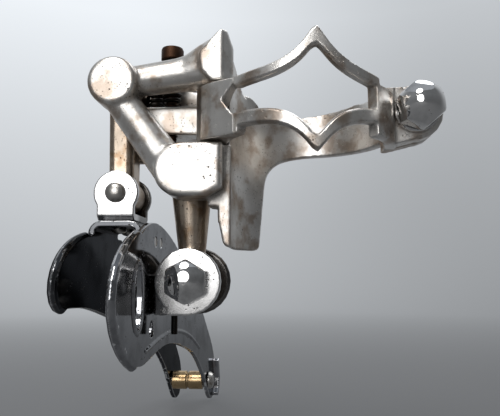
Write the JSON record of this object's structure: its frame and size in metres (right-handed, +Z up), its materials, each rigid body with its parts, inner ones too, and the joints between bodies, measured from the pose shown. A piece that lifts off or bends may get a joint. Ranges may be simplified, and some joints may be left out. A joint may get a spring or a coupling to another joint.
{
  "type": "front bicycle derailleur",
  "caption": "Clamp-on front derailleur: hinged seat-tube band, cast body, parallelogram links and a chrome chain cage that swings sideways to move the chain.",
  "frame": {"origin": "centre of the seat-tube bore at mid height of the clamp band", "axes": "+Z up the seat tube, +X away from the chain side, +Y to the rear wheel, so the cage is at -X and its tail trails towards +Y"},
  "size_m": [0.0725, 0.1011, 0.0905],
  "materials": {
    "cast_alloy": "worn satin casting, fine pits with dark grime",
    "link_alloy": "satin casting with a warm tarnish",
    "chrome": "bright plating over sheet steel, rust specks at the folds",
    "chrome_bolt": "polished plating",
    "zinc_steel": "dull plated steel",
    "rusty_steel": "brown surface rust",
    "black_spring": "oiled black spring wire",
    "bronze": "dull bronze"
  },
  "bodies": {
    "body": {"body_casting": "cast_alloy", "strap_hinge_pin": "zinc_steel", "inner_pivot_pin": "zinc_steel", "high_limit_spring": "black_spring", "low_limit_spring": "black_spring"},
    "strap": {"clamp_strap": "cast_alloy", "clamp_washer": "chrome_bolt", "clamp_bolt": "chrome_bolt"},
    "outer_link": {"outer_link": "link_alloy", "outer_pivot_pin": "zinc_steel", "cable_arm": "link_alloy", "cable_washer": "zinc_steel", "cable_anchor_bolt": "zinc_steel"},
    "inner_link": {"inner_link": "link_alloy", "inner_link_bush": "bronze"},
    "cage": {"cage_outer_plate": "chrome", "cage_inner_plate": "chrome", "tail_spacer": "bronze", "tail_screw": "zinc_steel", "outer_clevis": "chrome", "outer_cage_pin": "zinc_steel", "inner_bracket": "chrome", "inner_cage_bolt": "chrome_bolt", "inner_cage_nut": "zinc_steel", "inner_cage_sleeve": "zinc_steel", "return_spring": "black_spring", "bridge_rivet_1": "zinc_steel", "bridge_rivet_2": "zinc_steel", "tab_rivet_1": "zinc_steel", "tab_rivet_2": "zinc_steel", "bracket_rivet_1": "zinc_steel", "bracket_rivet_2": "zinc_steel"},
    "high_limit_screw": {"high_limit_screw": "rusty_steel"},
    "low_limit_screw": {"low_limit_screw": "rusty_steel"}
  },
  "joints": [
    {"name": "outer_link_swing", "type": "hinge", "parent": "body", "child": "outer_link", "pos_m": [-0.0402, 0.0047, 0.0058], "axis": [0, 1, 0], "range_deg": [0, 36], "stiffness_Nm_per_rad": 0.2, "springref_deg": -34.38},
    {"name": "inner_link_swing", "type": "hinge", "parent": "body", "child": "inner_link", "pos_m": [-0.0248, 0.0047, -0.0127], "axis": [0, 1, 0], "range_deg": [-1, 37]},
    {"name": "cage_level", "type": "hinge", "parent": "outer_link", "child": "cage", "pos_m": [-0.0398, 0.0047, -0.0165], "axis": [0, 1, 0], "range_deg": [-37, 1]},
    {"name": "strap_open", "type": "hinge", "parent": "body", "child": "strap", "pos_m": [-0.0194, -0.003, 0], "axis": [0, 0, -1], "range_deg": [0, 80]},
    {"name": "high_limit_turn", "type": "hinge", "parent": "body", "child": "high_limit_screw", "pos_m": [-0.0294, 0.0042, 0], "axis": [0, 0, 1], "continuous": true},
    {"name": "low_limit_turn", "type": "hinge", "parent": "body", "child": "low_limit_screw", "pos_m": [-0.0337, 0.0072, 0], "axis": [0, 0, 1], "continuous": true}
  ],
  "couplings": [
    {"joint": "inner_link_swing", "follows": "outer_link_swing", "ratio": 1},
    {"joint": "cage_level", "follows": "outer_link_swing", "ratio": -1}
  ]
}
